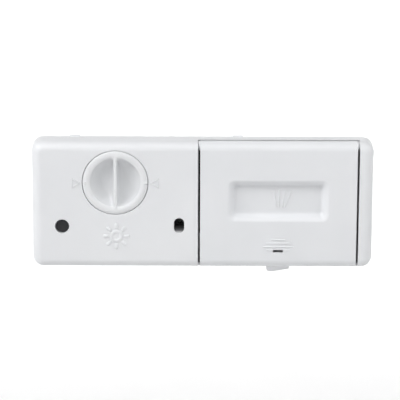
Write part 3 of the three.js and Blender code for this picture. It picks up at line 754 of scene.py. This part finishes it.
def bayonet_lug(middle):
    """One of the cap's two lugs, a short piece of ring with rounded ends."""
    half_angle = 0.44
    root, foot, height = 17.4, 17.5, 2.15
    steps = 12
    rings = []
    for i in range(steps + 1):
        along = 2 * i / steps - 1
        angle = middle + half_angle * along
        outer = foot + height * math.sqrt(max(1 - along**6, 0.02))
        section = ((root, 9.2), (outer, 9.35), (outer, 10.9), (root, 11))
        ring = [(CAP_X + r * math.cos(angle), CREST + y, CAP_Z + r * math.sin(angle)) for r, y in section]
        rings.append(ring)
    return loft("lug", rings)


def build_cap():
    """The rinse-aid cap: a turned body less its two bowls, with a tick on each side and two lugs."""
    cap = turned("rinse_cap_fine", CAP_X, CAP_Z, cap_profile(), 128)
    for side in (-1, 1):
        combine(cap, finger_bowl(side), "DIFFERENCE")
    parts = [cap]
    for side in (-1, 1):
        ends = [(CAP_X + side * r, CAP_MARK) for r in TICK["reach"]]
        parts.append(raised_bar("tick", *ends, TICK["width"], TICK["height"], CREST + TICK["foot"]))
    for middle in (0, math.pi):
        parts.append(bayonet_lug(middle))
    cap = joined(parts)
    crisp(cap, 50)
    stand_for(cap, "rinse_cap", CAP_WHITE)


def build_lens():
    """The sight lens: a slightly domed window, a collar behind the face and a stem into the tank."""
    radius, collar, stem = LENS_RADIUS, 5.2, 3.4
    front, back = LENS_LOW[1], LENS_HIGH[1]
    profile = [(AXIS, front - 0.15), (radius * 0.5, front - 0.1), (radius * 0.85, front)]
    profile += [(radius - 0.08, front + 0.2), (radius, front + 0.5), (radius, front + 2.5)]
    profile += [(collar, front + 2.5), (collar, front + 3.5), (stem, front + 3.6)]
    profile += [(stem, back - 0.4), (stem - 0.4, back), (AXIS, back)]
    lens = turned("sight_lens_fine", LENS_X, LENS_Z, profile, 64)
    crisp(lens, 40)
    stand_for(lens, "sight_lens", LENS_BLACK)


# ---- seals ----
def build_door_gasket():
    """A flat strip with two sealing lips."""
    low, high = box_mm("door_gasket")
    x, z = (low[0] + 3, high[0] - 3), (low[2] + 2, high[2] - 2)
    section = [(-2.9, -0.7), (2.0, -0.7), (2.0, 1.2), (1.5, 1.2), (1.0, 2.2), (0.5, 1.2)]
    section += [(-0.6, 1.2), (-1.2, 2.2), (-1.8, 1.2), (-2.9, 1.2)]
    gasket = frame_ring("door_gasket_fine", x, z, 4, section)
    stand_for(softened(gasket, 0.12), "door_gasket", DARK_RUBBER)


def build_cap_seal():
    """An O-ring whose section is flatter than it is wide."""
    low, high = box_mm("cap_seal")
    radius = (high[0] - low[0]) / 2 - 1
    depth = (low[1] + high[1]) / 2
    sides = 12
    rings = []
    for i in range(sides):
        angle = 2 * math.pi * i / sides
        rings.append(circle(CAP_X, CAP_Z, radius + 0.98 * math.cos(angle), depth + 0.5 * math.sin(angle)))
    stand_for(loft("cap_seal_fine", rings, closed=True), "cap_seal", DARK_RUBBER)


def build_lid_seal():
    """A strip whose back tapers to a lip."""
    low, high = box_mm("lid_seal")
    front, back = low[1], high[1]
    section = [(-1, front), (1, front), (1, front + 1.2), (0.55, back - 0.3)]
    section += [(0, back), (-0.55, back - 0.3), (-1, front + 1.2)]
    seal = frame_ring("lid_seal_fine", (low[0] + 1, high[0] - 1), (low[2] + 1, high[2] - 1), 6.8, section)
    stand_for(softened(seal, 0.15), "lid_seal", GREY_RUBBER)


# ---- springs and fasteners ----
# the height of the head and the radius of the shank, by what the screw holds
SCREWS = {"motor": (2.0, 1.6), "cover": (2.2, 1.4), "clamp": (2.0, 1.8)}


def wire(node, points, radius):
    """A spring's round wire along a smooth curve, in the place of its CAD node."""
    curve = bpy.data.curves.new("wire", "CURVE")
    curve.dimensions = "3D"
    curve.bevel_depth = mm(radius)
    curve.bevel_resolution = 3
    curve.resolution_u = 3
    curve.use_fill_caps = True
    spline = curve.splines.new("NURBS")
    spline.points.add(len(points) - 1)
    for place, point in zip(spline.points, points):
        place.co = (*mm(*point), 1)
    spline.order_u = 4
    spline.use_endpoint_u = True
    path = bpy.data.objects.new("wire", curve)
    scene.collection.objects.link(path)
    mesh = evaluated_mesh(path)
    bpy.data.objects.remove(path)
    piece = bpy.data.objects.new(node + "_fine", mesh)
    scene.collection.objects.link(piece)
    mesh.shade_smooth()
    mesh.materials.append(WIRE_STEEL)
    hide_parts(node)
    return piece


def build_coil(node, turns, radius):
    """A compression spring in its CAD node's space, with closed ends, riding on its node's body."""
    low, high = box_mm(node)
    x, y, _ = middle_mm(node)
    coil = (high[0] - low[0]) / 2 - radius
    per_turn, end_steps = 16, 10
    steps = per_turn * turns
    points = []
    for i in range(steps + 1):
        angle = 2 * math.pi * i / per_turn
        share = min(max((i - end_steps) / (steps - 2 * end_steps), 0), 1)
        z = low[2] + radius + share * (high[2] - low[2] - 2 * radius)
        points.append((x + coil * math.cos(angle), y + coil * math.sin(angle), z))
    spring = wire(node, points, radius)
    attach(spring, body_of(node))
    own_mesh(spring)


def build_lid_springs():
    """The lid's torsion springs: the outer leg lies on the lid's back, the inner one on the cup's collar."""
    _, y, z = middle_mm("hinge_rod")
    coil = 1.8
    per_turn, steps = 16, 72
    # each spring with the x of its outer leg and of its inner leg
    for node, outer, inner in (("lid_spring_left", 1.2, 10.6), ("lid_spring_right", 105.8, 96.4)):
        points = [(outer, y - coil, z - 10), (outer, y - coil, z - 6), (outer, y - coil, z - 2)]
        for i in range(steps + 1):
            angle = 2 * math.pi * i / per_turn
            x = outer + (inner - outer) * i / steps
            points.append((x, y - coil * math.cos(angle), z + coil * math.sin(angle)))
        points += [(inner, y + coil, z - 3), (inner, y + coil + 1.8, z - 6), (inner, y + coil + 2, z - 7)]
        spring = wire(node, points, 0.3)
        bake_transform(spring)


def build_screw(node):
    """A pan-head screw with a cross recess and a threaded shank, in the space of its CAD node."""
    low, high = box_mm(node)
    x, _, z = middle_mm(node)
    head = (high[0] - low[0]) / 2
    back, tip = high[1], low[1]
    head_height, shank = SCREWS[node.split("_")[0]]
    under = back - head_height
    profile = [(AXIS, back), (head * 0.45, back - 0.05), (head * 0.8, back - 0.3)]
    profile += [(head * 0.95, back - 0.75), (head, back - 1.3)]
    profile += [(head, under + 0.1), (head - 0.1, under), (shank, under)]
    pitch = 1.1
    core = shank * 0.78
    depth = under - 0.6
    while depth > tip + pitch + 1:
        profile += [(core, depth), (core, depth - 0.45), (shank, depth - 0.7), (core, depth - 0.95)]
        depth -= pitch
    profile += [(shank * 0.75, tip + 1), (AXIS, tip)]
    screw = turned(node + "_fine", x, z, profile, 40)
    # the recess's two arms, which grow shorter with depth and keep their width
    long, narrow = head * 0.58, 0.42
    for upright in (False, True):
        rings = []
        for y, share in ((back + 1, 1.1), (back - 1.2, 0.6)):
            w, t = (narrow, long * share) if upright else (long * share, narrow)
            rings.append([(x - w, y, z - t), (x + w, y, z - t), (x + w, y, z + t), (x - w, y, z + t)])
        combine(screw, loft("recess", rings), "DIFFERENCE")
    crisp(screw, 42)
    stand_for(screw, node, ZINC)


def build_hinge_rod():
    """The lid's rod, with a chamfer at each end."""
    low, high = box_mm("hinge_rod")
    _, y, z = middle_mm("hinge_rod")
    radius = (high[1] - low[1]) / 2
    sides = 32
    chamfer = 0.3
    angles = [2 * math.pi * i / sides for i in range(sides)]
    rings = []
    for x, share in ((low[0], 0.7), (low[0] + chamfer, 1), (high[0] - chamfer, 1), (high[0], 0.7)):
        reach = share * radius
        rings.append([(x, y + reach * math.cos(a), z + reach * math.sin(a)) for a in angles])
    rod = loft("hinge_rod_fine", rings)
    crisp(rod, 30)
    stand_for(rod, "hinge_rod", WIRE_STEEL)


def build_rocker_pin():
    """The rocker's pin, with a groove for its clip."""
    low, high = box_mm("rocker_pin")
    x, _, z = middle_mm("rocker_pin")
    radius = (high[0] - low[0]) / 2
    clip_low, clip_high = box_mm("rocker_clip")
    groove = radius - 0.3
    profile = [(AXIS, low[1]), (radius - 0.2, low[1]), (radius, low[1] + 0.2), (radius, clip_low[1] - 0.05)]
    profile += [(groove, clip_low[1]), (groove, clip_high[1]), (radius, clip_high[1] + 0.05)]
    profile += [(radius, high[1] - 0.4), (radius - 0.4, high[1]), (AXIS, high[1])]
    pin = turned("rocker_pin_fine", x, z, profile, 40)
    crisp(pin, 30)
    stand_for(pin, "rocker_pin", WIRE_STEEL)


# ---- nodes whose CAD shape is right: their material and how far their edges are rounded ----
REFINED = {
    "detergent_cup": (WHITE, 0.4),
    "cup_gasket": (DARK_RUBBER, 0.2),
    "rinse_tank": (NATURAL, 0.5),
    "outlet_nozzle": (OUTLET_BLACK, 0.3),
    "dosing_body": (NATURAL, 0.3),
    "dosing_piston": (WHITE, 0.15),
    "piston_seal": (DARK_RUBBER, 0.2),
    "dose_dial": (NATURAL, 0.2),
    # the latch's whiter plastic carries painted light
    "latch_slider": (LATCH_WHITE_PAINTED_LIGHT, 0.25),
    "drive_rocker": (NATURAL, 0.25),
    "rocker_clip": (WIRE_STEEL, 0.1),
    "wax_motor": (MOTOR_BLACK, 0.3),
    "motor_plunger": (WHITE, 0.25),
    "terminal_lower": (BRASS, 0.12),
    "terminal_upper": (BRASS, 0.12),
    "mechanism_cover": (WHITE, 0.4),
    "clamp_left": (STEEL, 0.2),
    "clamp_right": (STEEL, 0.2),
}

add_camera()
add_floor()
add_lights()
build_housing()
build_lid()
build_cap()
build_lens()
build_door_gasket()
build_cap_seal()
build_lid_seal()
build_hinge_rod()
build_rocker_pin()
build_lid_springs()
build_coil("latch_spring", turns=6, radius=0.4)
build_coil("piston_spring", turns=5, radius=0.4)
for node in frame["nodes"]:
    if "screw" in node:
        build_screw(node)
for node, (material, width) in REFINED.items():
    stand_for(softened(copy_of(node), width), node, material)
